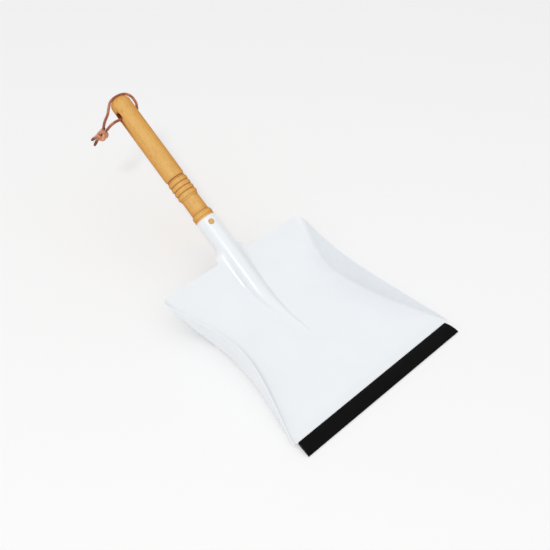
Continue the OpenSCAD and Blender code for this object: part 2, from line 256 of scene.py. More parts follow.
tree.links.new(tint.outputs["Color"], shader.inputs["Base Color"])
print(white_coat.name, "from", len(tree.nodes), "nodes")

# %% [markdown]
# ## Oiled beech
# The handle is beech, turned on a lathe and rubbed with a warm oil. The wood itself is pale. The amber colour
# is in the film of oil on it, so it is a tinted coat here and not a painted colour. Light runs a longer way
# through the film where the handle turns away from the eye, which is why its long edges are browner than its
# middle. The coat's IOR is lower than an oil's, 1.16 and not 1.47, because that lets the light slant more
# inside the film and makes this plain to see. The grain runs along the handle in fine streaks, with the short
# dark flecks of beech, its rays. Shade is painted darker into the grooves and the hole, from a point
# attribute.


# %% Oiled beech
STREAK_W, STREAK_LEN = 1.5, 60             # mm, across and along one streak of the grain
RAY_W, RAY_LEN = 0.9, 6                    # mm, a little larger than the real rays, so that they show


def beech(name, stops, fleck_share):
    """Beech whose grain runs along the handle. stops go from the dark streaks to the light wood."""
    material, tree, shader = new_material(
        name, stops[1][1], Roughness=0.5, IOR=1.47, Coat_Weight=1.0, Coat_Roughness=0.42, Coat_IOR=1.16,
        Coat_Tint=linear("#eac48c"),
    )
    place = add(tree, "TexCoord")
    sloped = add(
        tree, "Mapping", [("Vector", place, "Object")],
        vector_type="TEXTURE", Location=MOUTH * MM, Rotation=(TILT, 0, 0),
    )
    streak_scale = Vector((1 / STREAK_W, 1 / STREAK_LEN, 1 / STREAK_W)) / MM
    long_grain = add(tree, "Mapping", [("Vector", sloped, "Vector")], Scale=streak_scale)
    streaks = add(
        tree, "TexNoise", [("Vector", long_grain, "Vector")],
        Scale=1, Detail=6, Roughness=0.62, Distortion=0.4,
    )
    ray_scale = Vector((1 / RAY_W, 1 / RAY_LEN, 1 / RAY_W)) / MM
    short_grain = add(tree, "Mapping", [("Vector", sloped, "Vector")], Scale=ray_scale)
    rays = add(tree, "TexNoise", [("Vector", short_grain, "Vector")], Scale=1, Detail=3, Roughness=0.5)
    wood = ramp(tree, streaks, "Fac", stops)
    flecks = ramp(tree, rays, "Fac", [(0.34, "#a06a3a"), (0.46, "#ffffff")])
    flecked = add(
        tree, "Mix", [(COLOUR_A, wood, "Color"), (COLOUR_B, flecks, "Color")],
        data_type="RGBA", blend_type="MULTIPLY",
    )
    flecked.inputs[MIX_FACTOR].default_value = fleck_share

    # Painted shade in grooves and hollows: a piece without this attribute reads 0 here, and stays as pale as
    # the rest
    painted_shade = add(tree, "Attribute", attribute_name="painted_shade")
    painted_dark = add(
        tree, "Mix", [(MIX_FACTOR, painted_shade, "Fac"), (COLOUR_A, flecked, COLOUR_RESULT)],
        data_type="RGBA", blend_type="MULTIPLY",
    )
    # The colour of the painted shade
    painted_dark.inputs[COLOUR_B].default_value = linear("#b06a34")
    tree.links.new(painted_dark.outputs[COLOUR_RESULT], shader.inputs["Base Color"])
    bump = add(tree, "Bump", [("Height", rays, "Fac")], Strength=0.12, Distance=0.15 * MM)
    tree.links.new(bump.outputs["Normal"], shader.inputs["Normal"])
    gloss = add(
        tree, "MapRange", [("Value", rays, "Fac")], From_Min=0.3, From_Max=0.7, To_Min=0.58, To_Max=0.46
    )
    tree.links.new(gloss.outputs["Result"], shader.inputs["Roughness"])
    return material


handle_beech = beech(
    "oiled beech", [(0.3, "#ecd8ac"), (0.45, "#f6e7c0"), (0.6, "#fbf0cf"), (0.78, "#fef7de")], 0.25
)
peg_beech = beech("beech end grain", [(0.3, "#e8d8b4"), (0.5, "#f6ead0"), (0.75, "#fdf6e4")], 0.3)
print(handle_beech.name, "and", peg_beech.name, "from", len(handle_beech.node_tree.nodes), "nodes each")

# %% [markdown]
# ## Black rubber
# The lip is black rubber, pressed through a die as one long strip. Carbon black makes it very dark and dull,
# so its own reflection is set low. The die leaves fine lines that run along the strip, and a faint grey bloom
# comes to its surface in soft patches.

# %% Black rubber
DIE_LINE, DIE_LINE_LEN, BLOOM = 1.1, 60, 14    # mm; the lines are drawn coarser than real, so that they show
rubber, tree, shader = new_material(
    "black extruded rubber", "#060606", Roughness=0.5, IOR=1.5, Specular_IOR_Level=0.08
)
place = add(tree, "TexCoord")
die_scale = Vector((1 / DIE_LINE_LEN, 1 / DIE_LINE, 1 / DIE_LINE)) / MM
die = add(tree, "Mapping", [("Vector", place, "Object")], Scale=die_scale)
lines = add(tree, "TexNoise", [("Vector", die, "Vector")], Scale=1, Detail=4)
bloom = add(
    tree, "TexNoise", [("Vector", place, "Object")], Scale=1 / (BLOOM * MM), Detail=6, Roughness=0.7
)
tint = ramp(tree, bloom, "Fac", [(0.35, "#030303"), (0.7, "#080808")])
tree.links.new(tint.outputs["Color"], shader.inputs["Base Color"])
bump = add(tree, "Bump", [("Height", lines, "Fac")], Strength=0.18, Distance=0.15 * MM)
tree.links.new(bump.outputs["Normal"], shader.inputs["Normal"])
print(rubber.name, "from", len(tree.nodes), "nodes")

# %% [markdown]
# ## Waxed leather
# The thong is cut from a tanned hide, rolled round and waxed. It is red brown, with pebbles of about a
# millimetre and a slow change of tone over a centimetre. The knot has a paler copy of the leather of its own,
# which paints the light that falls on it into its colour, and painted shade darkens it between its strands.


# %% Waxed leather
PEBBLE, SHADE = 1.3, 9                     # mm across a pebble and across a change of shade


def waxed_leather(name, stops):
    """Leather from its creases to its open fibres, darkened by painted shade where the point attribute says
    so.
    """
    material, tree, shader = new_material(name, stops[1][1], Roughness=0.5, IOR=1.5, Sheen_Weight=0.15)
    place = add(tree, "TexCoord")
    pebble = add(
        tree, "TexNoise", [("Vector", place, "Object")], Scale=1 / (PEBBLE * MM), Detail=5, Roughness=0.6
    )
    shade = add(tree, "TexNoise", [("Vector", place, "Object")], Scale=1 / (SHADE * MM), Detail=2)
    both = add(tree, "Mix", [(NUMBER_A, pebble, "Fac"), (NUMBER_B, shade, "Fac")], data_type="FLOAT")
    both.inputs[MIX_FACTOR].default_value = 0.5
    hide = ramp(tree, both, "Result", stops)
    painted_shade = add(tree, "Attribute", attribute_name="painted_shade")
    painted_dark = add(
        tree, "Mix", [(MIX_FACTOR, painted_shade, "Fac"), (COLOUR_A, hide, "Color")],
        data_type="RGBA", blend_type="MULTIPLY",
    )
    # The colour of the painted shade
    painted_dark.inputs[COLOUR_B].default_value = linear("#7a4436")
    tree.links.new(painted_dark.outputs[COLOUR_RESULT], shader.inputs["Base Color"])
    bump = add(tree, "Bump", [("Height", pebble, "Fac")], Strength=0.35, Distance=0.3 * MM)
    tree.links.new(bump.outputs["Normal"], shader.inputs["Normal"])
    return material


leather = waxed_leather("waxed leather", [(0.36, "#7c3c24"), (0.5, "#ab6241"), (0.64, "#d0926c")])
# The knot's own copy of the leather is paler: a painted highlight, the light that falls on the knot painted
# into its colour
lit_leather = waxed_leather(
    "waxed leather, painted lit", [(0.34, "#a05a3c"), (0.5, "#cf8c68"), (0.64, "#e8b896")]
)
print(leather.name, "from", len(leather.node_tree.nodes), "nodes")

# %% [markdown]
# ## The thong
# One thong goes through the hole and round the end of the handle, and both its ends meet in a knot on the
# left. It is limp but held by its own stiffness, so it keeps the round sweep that it was tied with. A curve
# with a bevel would give a perfect round cord. Here rings of points are carried along a smooth line instead,
# because each ring can then be a little uneven, as cut leather is.


# %% Sweeping a strand
STRAND_SIDES = 16
END_TAPER = (0.62, 0.88, 1.0)              # share of the full width at the last rings of a strand
UNEVEN, UNEVEN_PER_MM = 0.05, 0.55         # how far the thickness strays, and how quickly along the strand


def through(points, steps):
    """A smooth curve through all the points, with steps parts in each span."""
    line = []
    last = len(points) - 1
    for k in range(last):
        p0, p1, p2, p3 = (points[min(max(k + q, 0), last)] for q in (-1, 0, 1, 2))
        for q in range(steps):
            t = q / steps
            line.append(0.5 * (
                2 * p1 + (p2 - p0) * t + (2 * p0 - 5 * p1 + 4 * p2 - p3) * t * t
                + (3 * p1 - p0 - 3 * p2 + p3) * t ** 3
            ))
    return line + [points[last]]


def strand(name, line, width, seed=0):
    """A leather strand along a line in millimetres: rings carried along without twist, and rounded ends."""
    points = []
    last = len(line) - 1
    normal = (line[1] - line[0]).orthogonal().normalized()
    for k, centre in enumerate(line):
        ahead = (line[min(k + 1, last)] - line[max(k - 1, 0)]).normalized()
        normal = (normal - ahead * normal.dot(ahead)).normalized()
        side = ahead.cross(normal)
        taper = END_TAPER[min(k, last - k, 2)]
        for q in range(STRAND_SIDES):
            a = 2 * math.pi * q / STRAND_SIDES
            way = normal * math.cos(a) + side * math.sin(a)
            sample = (centre + way * width) * UNEVEN_PER_MM + Vector((seed, 0, 0))
            radius = width / 2 * taper * (1 + UNEVEN * noise.noise(sample))
            points.append((centre + way * radius) * MM)
    faces = []
    for k in range(last):
        for q in range(STRAND_SIDES):
            here, after = k * STRAND_SIDES + q, k * STRAND_SIDES + (q + 1) % STRAND_SIDES
            faces.append((here, after, after + STRAND_SIDES, here + STRAND_SIDES))
    faces.append(tuple(reversed(range(STRAND_SIDES))))
    faces.append(tuple(range(last * STRAND_SIDES, (last + 1) * STRAND_SIDES)))
    mesh = bpy.data.meshes.new(name)
    mesh.from_pydata(points, [], faces)
    obj = bpy.data.objects.new(name, mesh)
    bpy.context.scene.collection.objects.link(obj)
    return obj


# %% The thong
THONG_D = 3.2
# Across, along the handle and up from it, about the middle of the hole
THONG_ROUTE = [
    (-33, -5.5, -4.5), (-26.5, -3.5, -1), (-19, -2.5, 0.8), (-12, -2.8, 0.4),
    (-6, -3, 0), (0, -3, 0), (5, -3, 0), (9, -2.5, 0),
    (12.5, -0.5, 0), (15, 3, 0), (17, 7, 0), (17.5, 11.5, 0),
    (17, 15.7, 0.5), (15, 19.3, 1), (12, 21.8, 1.5), (7, 23.5, 1.5),
    (1.5, 23.8, 1.5), (-4, 23.1, 1), (-10, 20.9, 0), (-14.8, 16.3, -1.5),
    (-20, 10.5, -3), (-27.5, 5, -4.5), (-34, -1.5, -5),
]
route = [along_handle(x, HOLE_S + y, z) for x, y, z in THONG_ROUTE]
thong_line = through(route, 6)
thong = strand("leather_thong", thong_line, THONG_D)

# %% [markdown]
# ## The knot
# Both ends are tied together in one overhand knot, and the two tails stick out of it. A lump of leather would
# do from far away, but a knot is known by its crossings. An overhand knot is a trefoil that is cut open at
# one lobe, so its line is the trefoil's formula, with the ends led out along the pull. The two strands lie
# side by side all the way round, and their thickness closes the gaps between the turns.

# %% The knot's line
KNOT_AT = along_handle(-38.8, HOLE_S - 4.9, -7.5)
PULL = (Vector((-0.75, 0, 0)) - 0.2 * ALONG - 0.6 * UP).normalized()       # from the loop to the tails
KNOT_FACE = (toward_camera - PULL * toward_camera.dot(PULL)).normalized()  # square to the pull, facing out
KNOT_SIDE = PULL.cross(KNOT_FACE)
KNOT_SIZE = 1.7                            # mm for one unit of the trefoil's formula
KNOT_OPEN = 0.06                           # share of the trefoil that is cut away at each end
KNOT_DEPTH, KNOT_SHIFT = 1.15, 1.1         # height of a crossing, and how far the lobes sit to one side
KNOT_STEPS, KNOT_EVERY, NUDGE = 72, 4, 0.3


def trefoil(t):
    """The knot's line about its middle, for t from 0 to 1, in its own frame: side, pull and face."""
    a = 2 * math.pi * (KNOT_OPEN + (1 - 2 * KNOT_OPEN) * t)
    reach = 2 + math.cos(3 * a)
    across = reach * math.cos(2 * a) - KNOT_SHIFT
    return Vector((across, reach * math.sin(2 * a), KNOT_DEPTH * math.sin(3 * a))) * KNOT_SIZE


def knot_line(offset, tail):
    """One strand of the knot, offset beside the other, with a tail of its own length."""
    middle = [trefoil(k / KNOT_STEPS) for k in range(KNOT_STEPS + 1)]
    line = []
    for k, point in enumerate(middle):
        ahead = (middle[min(k + 1, KNOT_STEPS)] - middle[max(k - 1, 0)]).normalized()
        out = Vector((point.x + KNOT_SHIFT * KNOT_SIZE, point.y, 0)).normalized()
        line.append(point + ahead.cross(out).normalized() * offset)
    enter, leave = line[0].x + NUDGE, line[-1].x - NUDGE
    lead_in = [Vector((enter + offset, -7.5, 0.4)), Vector((enter, -5.5, 0.2))]
    lead_out = [Vector((leave + offset, 7, 0.4)), Vector((leave + offset * 2, tail, -0.6))]
    whole = through(lead_in + line[::KNOT_EVERY] + lead_out, 4)
    return [KNOT_AT + KNOT_SIDE * p.x + PULL * p.y + KNOT_FACE * p.z for p in whole]


print("the knot's turns are", round(6 * KNOT_SIZE, 1), "mm across, between the middles of the strands")

# %% The knot
KNOT_STRAND_D, STRAND_OFFSET = 3.5, 1.45
TAILS = (15, 12.5)                         # mm from the knot's middle to the two cut ends
strands = [
    strand(f"knot_strand_{k}", knot_line(side * STRAND_OFFSET, tail), KNOT_STRAND_D, seed=k * 7)
    for k, (side, tail) in enumerate(zip((-1, 1), TAILS))
]
only(strands[0])
strands[1].select_set(True)
bpy.ops.object.join()
knot = new_piece("leather_knot")

# Painted shade: darker in the middle between the strands, on the tails and where the loop comes in
painted_shade = knot.data.attributes.new("painted_shade", "FLOAT", "POINT")
for v, value in zip(knot.data.vertices, painted_shade.data):
    offset = v.co / MM - KNOT_AT
    along_pull = offset.dot(PULL)
    in_middle = 1 - smooth(offset.length / 5.5)
    on_tails = 0.9 * smooth((along_pull - 6) / 3)
    on_loop = smooth((-5 - along_pull) / 2)
    value.value = max(in_middle, on_tails, on_loop)

finish_piece(knot, lit_leather, "thong", "thong_knot")
finish_piece(thong, leather, "thong", "thong")

# %% [markdown]
# ## The pan's curves
# A press forms the sheet between two dies, so every height and width of the pan is a smooth function of the
# distance y from its front edge. The floor is flat, joggled up over the rubber at the front, and bends up
# into a straight ramp at the back. The side walls are lowest at the front corners, the pan has a waist at
# about half its length, and the walls lean out more towards the back. Boxes and bevels could give the corners
# but not the waist, so the curves come first and the mesh is laid on them.

# %% Sizes of the pan
FRONT_W, WAIST_W, BACK_W, LENGTH = 235, 178, 210, 214
RIM_H, BACK_H, FRONT_RIM_H, SHEET = 32.5, 31, 4, 1
FOLD_R, EAR_FOLD_R, RAMP_R = 4, 10, 110    # radius of the walls' fold, at the rear corners and of the ramp
LIP_UNDER, JOGGLE_RUN = 1.4, 12            # rubber under the steel, and the run that lifts the steel over it
WALL_LEAN, FRONT_LEAN = math.radians(10), math.radians(-2)
WAIST_Y = 0.53 * LENGTH
BACK_RISE = BACK_H - SHEET
BEND_RUN = RAMP_R * math.sin(TILT)
BEND_RISE = RAMP_R * (1 - math.cos(TILT))
BEND_START = LENGTH - BEND_RUN - (BACK_RISE - BEND_RISE) / math.tan(TILT)
FRONT_RIM_SLOPE, FRONT_SIDE_SLOPE, BACK_SIDE_SLOPE = 0.3, -0.31, 0.2
print("flat floor from", round(FRONT_Y + JOGGLE_RUN), "to", round(FRONT_Y + BEND_START), "mm")


# %% Heights and widths of the pan
def between(a, b, y):
    """Value at y of the curve between two points, each (place, value, slope)."""
    h = b[0] - a[0]
    t = (y - a[0]) / h
    return (
        (2 * t ** 3 - 3 * t * t + 1) * a[1] + (t ** 3 - 2 * t * t + t) * h * a[2]
        + (3 * t * t - 2 * t ** 3) * b[1] + (t ** 3 - t * t) * h * b[2]
    )


def floor_z(y):
    """Height of the floor's upper face in the middle of the pan."""
    if y < BEND_START:
        ramp_z = 0
    elif y < BEND_START + BEND_RUN:
        ramp_z = RAMP_R - math.sqrt(RAMP_R ** 2 - (y - BEND_START) ** 2)
    else:
        ramp_z = BEND_RISE + (y - BEND_START - BEND_RUN) * math.tan(TILT)
    return SHEET + LIP_UNDER * (1 - smooth(y / JOGGLE_RUN)) + ramp_z


def rim_z(y):
    """Height of the walls' rim."""
    if y < WAIST_Y:
        return between((0, FRONT_RIM_H, FRONT_RIM_SLOPE), (WAIST_Y, RIM_H, 0), y)
    return between((WAIST_Y, RIM_H, 0), (LENGTH, BACK_H, 0), y)


def rim_x(y):
    """Half the width between the rims' outer faces."""
    if y < WAIST_Y:
        return between((0, FRONT_W / 2, FRONT_SIDE_SLOPE), (WAIST_Y, WAIST_W / 2, 0), y)
    return between((WAIST_Y, WAIST_W / 2, 0), (LENGTH, BACK_W / 2, BACK_SIDE_SLOPE), y)


def lean(y):
    """How far the walls lean outwards, as an angle."""
    share = y / LENGTH
    return WALL_LEAN * smooth((share - 0.42) / 0.3) + FRONT_LEAN * smooth(share / 0.15)


def fold_at(y):
    """Radius of the fold between floor and wall, which opens out at the rear corners."""
    return FOLD_R + (EAR_FOLD_R - FOLD_R) * smooth((y / LENGTH - 0.65) / 0.3)


print("waist", round(2 * rim_x(WAIST_Y)), "mm wide and", round(rim_z(WAIST_Y), 1), "mm high")

# %% [markdown]
# ## The rib
# The rib stiffens the floor and leads up to the socket. It starts as a point on the flat floor, stays low at
# first, rises over a knee and is then level with the top of the socket. Across, it is a round crest between
# two hollow fillets, and all three grow towards the back until they match the socket's own radius.

# %% The rib
SOCKET_R, SOCKET_LEN, SOCKET_SINK = 11.7, 52, 2.3
RIB_TIP, TIP_R, RIB_FILLET, RIB_FLARE, FLARE_RUN = 92, 3.5, 3, 14, 43
KNEE_RUN, LOW_RUN, RIB_LOW_H, TIP_SLOPE, LOW_SLOPE = 39, 32, 3.4, 0.14, 0.2
CREST_H = SOCKET_R - SOCKET_SINK
CREST_END_Y = LENGTH - 3
CREST_END_Z = floor_z(CREST_END_Y) + CREST_H / math.cos(TILT)
KNEE_Y = CREST_END_Y - KNEE_RUN
KNEE_Z = CREST_END_Z - KNEE_RUN * math.tan(TILT)
LOW_Y = KNEE_Y - LOW_RUN
LOW_Z = floor_z(LOW_Y) + RIB_LOW_H


def crest_z(y):
    """Height of the rib's crest: level with the socket's top as far as the knee, and low in front of it."""
    if y < RIB_TIP:
        return 0
    if y < LOW_Y:
        return between((RIB_TIP, SHEET, TIP_SLOPE), (LOW_Y, LOW_Z, LOW_SLOPE), y)
    if y < KNEE_Y:
        return between((LOW_Y, LOW_Z, LOW_SLOPE), (KNEE_Y, KNEE_Z, math.tan(TILT)), y)
    return CREST_END_Z + (y - CREST_END_Y) * math.tan(TILT)


def stretch(y):
    """An upright height for 1 mm square to the slope, which grows as the rib climbs the ramp."""
    return 1 + (1 / math.cos(TILT) - 1) * smooth((y - RIB_TIP) / (LENGTH - RIB_TIP))


def rib(y):
    """At y: the rib's height square to its slope, its crest's and its fillet's radius, and half its width."""
    crest_r = TIP_R + (SOCKET_R - TIP_R) * smooth((y - RIB_TIP) / (KNEE_Y - RIB_TIP))
    height = min(0.9 * crest_r, max(0.0, crest_z(y) - floor_z(y)) / stretch(y))
    fillet = RIB_FILLET + RIB_FLARE * min(1.0, max(0.0, 1 + (y - LENGTH) / FLARE_RUN)) ** 2
    reach = crest_r + fillet
    return height, crest_r, fillet, math.sqrt(max(0.0, 2 * reach * height - height ** 2))


def rib_z(x, y):
    """How far the rib stands above the floor at x, on its crest or on its fillet."""
    height, crest_r, fillet, width = rib(y)
    if x >= width:
        return 0.0
    if x < width * crest_r / (crest_r + fillet):
        return stretch(y) * (height - crest_r + math.sqrt(crest_r ** 2 - x * x))
    return stretch(y) * (fillet - math.sqrt(max(0.0, fillet ** 2 - (width - x) ** 2)))


print("the rib is", [round(2 * rib(y)[3], 1) for y in (LOW_Y, KNEE_Y, LENGTH)], "mm wide, front to back")

# %% [markdown]
# ## The blank
# The blank is a flat grid with one square for every small patch of the finished pan. Its tail, which becomes
# the socket, is drawn out of the middle of its back edge by extruding. Pressing it then moves every point of
# the grid to its place in the finished shape. This keeps the mesh all quads, so the highlights run smoothly
# over the folds, where a boolean of separate shapes would leave long thin faces.

# %% The blank
RIB_COLS, FLOOR_COLS, WALL_COLS = 22, 20, 18
HALF_COLS = RIB_COLS + FLOOR_COLS + WALL_COLS
ROWS, ROLL_ROWS, TUBE_ROWS = 110, 22, 10

bpy.ops.mesh.primitive_grid_add(
    x_subdivisions=2 * HALF_COLS, y_subdivisions=ROWS, size=1, enter_editmode=False, location=(0, 0, 0)
)
pan = new_piece("steel_pan")
put(pan, Vector((0, ROWS / 2, 0)), Matrix.Diagonal((2 * HALF_COLS, ROWS, 1, 1)))
bpy.ops.object.mode_set(mode="EDIT")
bpy.ops.mesh.select_mode(type="EDGE")
bpy.ops.mesh.select_all(action="DESELECT")
grid = bmesh.from_edit_mesh(pan.data)
for edge in grid.edges:
    if all(v.co.y > ROWS - 0.5 and abs(v.co.x) < RIB_COLS + 0.5 for v in edge.verts):
        edge.select_set(True)
bmesh.update_edit_mesh(pan.data)
for _ in range(ROLL_ROWS + TUBE_ROWS):
    bpy.ops.mesh.extrude_region_move(TRANSFORM_OT_translate={"value": (0, 1, 0)})
bpy.ops.object.mode_set(mode="OBJECT")
print("the blank has", len(pan.data.polygons), "squares")

# %% [markdown]
# ## Pressing the pan
# A column of the blank has its place measured along the pan's section: over the rib, across the floor, round
# the fold and up the wall. A row has its place along the pan, with the rows closer together at both ends,
# where the shape changes most. Near the socket the back edge swings out in a small round corner.

# %% Pressing the pan
SHOULDER_R, SHIFT_RUN, MIN_WALL, RIB_MIN_W = 4, 40, 0.5, 4
FLOOR_SPREAD, ROW_SPREAD = 1.6, 0.1        # how far columns and rows crowd to where the shape changes
FOOT_FILLET = RIB_FILLET + RIB_FLARE
FOOT_TURN = math.acos(1 - CREST_H / (SOCKET_R + FOOT_FILLET))
FOOT_W = rib(LENGTH)[3]


def rib_x(share, edge, y):
    """Across the rib: even shares of its width at its tip, and of its own section at the back."""
    crest_r, fillet = rib(y)[1:3]
    turn = math.asin(min(1.0, edge / (crest_r + fillet)))
    on_crest = share * (crest_r + fillet) / crest_r
    if on_crest < 1:
        along = crest_r * math.sin(on_crest * turn)
    else:
        along = edge - fillet * math.sin((1 - share) * (crest_r + fillet) / fillet * turn)
    return edge * share + (along - edge * share) * smooth((y - RIB_TIP) / (LENGTH - RIB_TIP))


def section(i, y):
    """Place across and height of column i at y, counted from the middle outwards."""
    floor_top = floor_z(y)
    rib_edge = max(rib(y)[3], RIB_MIN_W)
    if i <= RIB_COLS:
        x = rib_x(i / RIB_COLS, rib_edge, y)
        return x, floor_top + rib_z(x, y)
    height = max(MIN_WALL, rim_z(y) - floor_top)
    turn = math.pi / 2 - lean(y)
    r = fold_at(y)
    fold_x = rim_x(y) - SHEET - height * math.tan(lean(y)) - r * math.tan(turn / 2)
    share = (i - RIB_COLS) / FLOOR_COLS
    if share <= 1:
        return rib_edge + (fold_x - rib_edge) * share ** FLOOR_SPREAD, floor_top
    arc_end = min(turn, math.acos(max(-1.0, 1 - height / r)))
    wall = max(0.0, (height - r * (1 - math.cos(turn))) / math.sin(turn))
    up = (r * arc_end + wall) * (i - RIB_COLS - FLOOR_COLS) / WALL_COLS
    a = min(up / r, arc_end)
    rest = max(0.0, up - r * arc_end)
    return (
        fold_x + r * math.sin(a) + rest * math.cos(turn),
        floor_top + r * (1 - math.cos(a)) + rest * math.sin(turn),
    )


def pan_point(i, j):
    """Where the press puts the blank's point in column i and row j."""
    t = j / ROWS
    y = LENGTH * (t - ROW_SPREAD * math.sin(2 * math.pi * t))
    inside = min(max(FOOT_W + SHOULDER_R - section(abs(i), y)[0], 0), SHOULDER_R)
    shift = SHOULDER_R - math.sqrt(SHOULDER_R ** 2 - inside ** 2)
    y += shift * smooth((y - LENGTH + SHIFT_RUN) / SHIFT_RUN)
    x, z = section(abs(i), y)
    return Vector((math.copysign(x, i), FRONT_Y + y, z))


print("rear corner of the pan at", [round(v, 1) for v in pan_point(HALF_COLS, ROWS)], "mm")

# %% [markdown]
# ## Rolling the socket
# Behind the back edge the rib rolls shut. Square to the socket its section is made of arcs: the round crest,
# the hollow fillet and the edge of the tail. Rolling raises the curvature of the last two until the whole
# section is a circle, and its two edges meet in a seam underneath. Each arc ends where the next one starts,
# so the sheet never stretches across, just as when it is rolled round a mandrel.

# %% Rolling the socket
SEAM_FROM, SEAM_GAP = 28, 0.5              # where the edges have met, and the gap that is left between them
CREST_ARC = SOCKET_R * FOOT_TURN
FILLET_ARC = FOOT_FILLET * FOOT_TURN
OPEN_ARC = CREST_ARC + FILLET_ARC
ROLL_ARC = SOCKET_R * math.pi - SEAM_GAP / 2


def arc_step(heading, curve, length):
    """The step made by an arc of a given curvature and length that starts at a heading."""
    if abs(curve) < 1e-6:
        return Vector((length * math.cos(heading), length * math.sin(heading)))
    end = heading + curve * length
    return Vector((math.sin(end) - math.sin(heading), math.cos(heading) - math.cos(end))) / curve


def rolled(u, shut):
    """Place in the section at distance u from the crest, when it is shut by a share from 0 to 1."""
    tube = 1 / SOCKET_R
    fillet_curve = shut * tube - (1 - shut) / FOOT_FILLET
    on_crest = min(u, CREST_ARC)
    on_fillet = min(max(u - CREST_ARC, 0), FILLET_ARC)
    on_tail = max(u - OPEN_ARC, 0)
    heading = on_crest * tube
    p = arc_step(0, tube, on_crest) + arc_step(heading, fillet_curve, on_fillet)
    p += arc_step(heading + on_fillet * fillet_curve, shut * tube, on_tail)
    return p.x, CREST_H - p.y


def socket_point(i, j):
    """Where rolling puts the tail's point in column i and row j, which counts on from the blank's edge."""
    share = abs(i) / RIB_COLS
    foot, first = rolled(OPEN_ARC, 0), rolled(OPEN_ARC * share, 0)
    start = (SHOULDER_R + (first[1] - foot[1]) * math.sin(TILT)) / math.cos(TILT)
    t = min(1, (j - ROWS) / ROLL_ROWS)
    past_seam = max(0, j - ROWS - ROLL_ROWS) / TUBE_ROWS
    s = start + (SEAM_FROM - start) * t + (SOCKET_LEN - SEAM_FROM) * past_seam
    arc = OPEN_ARC + (ROLL_ARC - OPEN_ARC) * smooth(1.25 * t - 0.25)
    x, up = rolled(arc * share, smooth(2 * t))
    back_edge = Vector((0, FRONT_Y + LENGTH, BACK_H))
    return back_edge + Vector((math.copysign(x, i), 0, 0)) + ALONG * s + UP * up


for v in pan.data.vertices:
    i, j = round(v.co.x), round(v.co.y)
    v.co = (pan_point(i, j) if j <= ROWS else socket_point(i, j)) * MM
print("pressed and rolled:", len(pan.data.vertices), "points moved, socket", 2 * SOCKET_R, "mm across")

# %% [markdown]
# ## Thickness and peg holes
# The pressed face is the upper one, so Solidify gives the sheet its thickness downwards, on the side away
# from its normals. A boolean then cuts the two holes for the peg in one go, with a drill that goes right
# through the socket. A small bevel softens every cut edge, because a powder coat flows back from a sharp one.

# %% Thickness and peg holes
PEG_D, PEG_S, PEG_TURN = 6.5, -8, math.radians(8)
PEG_FIT, DRILL_LEN, CUT_BEVEL = 0.12, 40, 0.3
CUT_EDGE = math.radians(50)                # an edge sharper than this was cut, and gets a bevel
TO_HANDLE = Matrix.Rotation(TILT - math.pi / 2, 4, "X")                    # turns +Z to run up the handle
TO_PEG = TO_HANDLE @ Matrix.Rotation(-PEG_TURN, 4, "Z") @ Matrix.Rotation(math.pi / 2, 4, "X")
PEG_AT = along_handle(0, PEG_S, 0)

only(pan)
bpy.ops.object.mode_set(mode="EDIT")
bpy.ops.mesh.select_all(action="SELECT")
bpy.ops.mesh.normals_make_consistent(inside=False)
bpy.ops.object.mode_set(mode="OBJECT")
if pan.data.polygons[0].normal.z < 0:
    pan.data.flip_normals()
modify(pan, "SOLIDIFY", thickness=SHEET * MM, offset=-1)

bpy.ops.mesh.primitive_cylinder_add(vertices=48, radius=(PEG_D / 2 + PEG_FIT) * MM, depth=DRILL_LEN * MM)
drill = new_piece("drill")
put(drill, PEG_AT * MM, TO_PEG)
modify(pan, "BOOLEAN", operation="DIFFERENCE", object=drill, solver="EXACT")
bpy.data.objects.remove(drill)
modify(pan, "BEVEL", width=CUT_BEVEL * MM, segments=2, limit_method="ANGLE", angle_limit=CUT_EDGE)
print("peg holes", round(PEG_D + 2 * PEG_FIT, 2), "mm across")

# %% [markdown]
# ## The tongue
# The front edge of the sheet reaches into the slot of the lip. That part is flat and hidden by the rubber, so
# it is a thin plate of its own, a little thinner than the sheet so that it slides in, and it is joined to the
# pan as one piece.

# %% The tongue
TONGUE_L, TONGUE_W, TONGUE_T, TONGUE_LAP = 9, 218, 0.9, 0.8
bpy.ops.mesh.primitive_cube_add(size=1)
tongue = new_piece("tongue")
put(
    tongue,
    Vector((0, FRONT_Y - TONGUE_L / 2 + TONGUE_LAP / 2, LIP_UNDER + SHEET / 2)) * MM,
    Matrix.Diagonal((TONGUE_W * MM, (TONGUE_L + TONGUE_LAP) * MM, TONGUE_T * MM, 1)),
)
modify(tongue, "BEVEL", width=0.2 * MM, segments=2)
only(pan)
tongue.select_set(True)
bpy.ops.object.join()
finish_piece(pan, white_coat, "root", "pan", angle=40)

# %% [markdown]
# ## Turning the handle
# A lathe makes rings, so the handle is built ring by ring: a circle is added at the inner end of the shank,
# and each station of the profile extrudes it further and scales it to the new radius. Spinning the profile
# would give the same shape, but extruding closes both ends and leaves no seam to merge. The profile has a
# ring at the socket's mouth, a slim neck, four beads and a plain grip with a domed end.


# %% Turning
def turned(name, profile, sides):
    """A turned solid about +Z from (station, radius) pairs, closed at both ends."""
    s0, r0 = profile[0]
    bpy.ops.mesh.primitive_circle_add(vertices=sides, radius=r0 * MM, fill_type="NGON", location=(0, 0, 0))
    obj = new_piece(name)
    obj.data.transform(Matrix.Translation((0, 0, s0 * MM)))
    bpy.ops.object.mode_set(mode="EDIT")
    bpy.ops.mesh.select_all(action="SELECT")
    for (s_a, r_a), (s_b, r_b) in zip(profile, profile[1:]):
        bpy.ops.mesh.extrude_region_move(TRANSFORM_OT_translate={"value": (0, 0, (s_b - s_a) * MM)})
        bpy.ops.transform.resize(value=(r_b / r_a, r_b / r_a, 1))
    bpy.ops.object.mode_set(mode="OBJECT")
    return obj


def arc(centre_s, centre_r, radius, start, end, steps):
    """Stations along an arc of the profile. Angles are in degrees: 0 points along the axis, 90 outwards."""
    turns = [math.radians(start + (end - start) * k / steps) for k in range(steps + 1)]
    return [(centre_s + radius * math.cos(a), centre_r + radius * math.sin(a)) for a in turns]


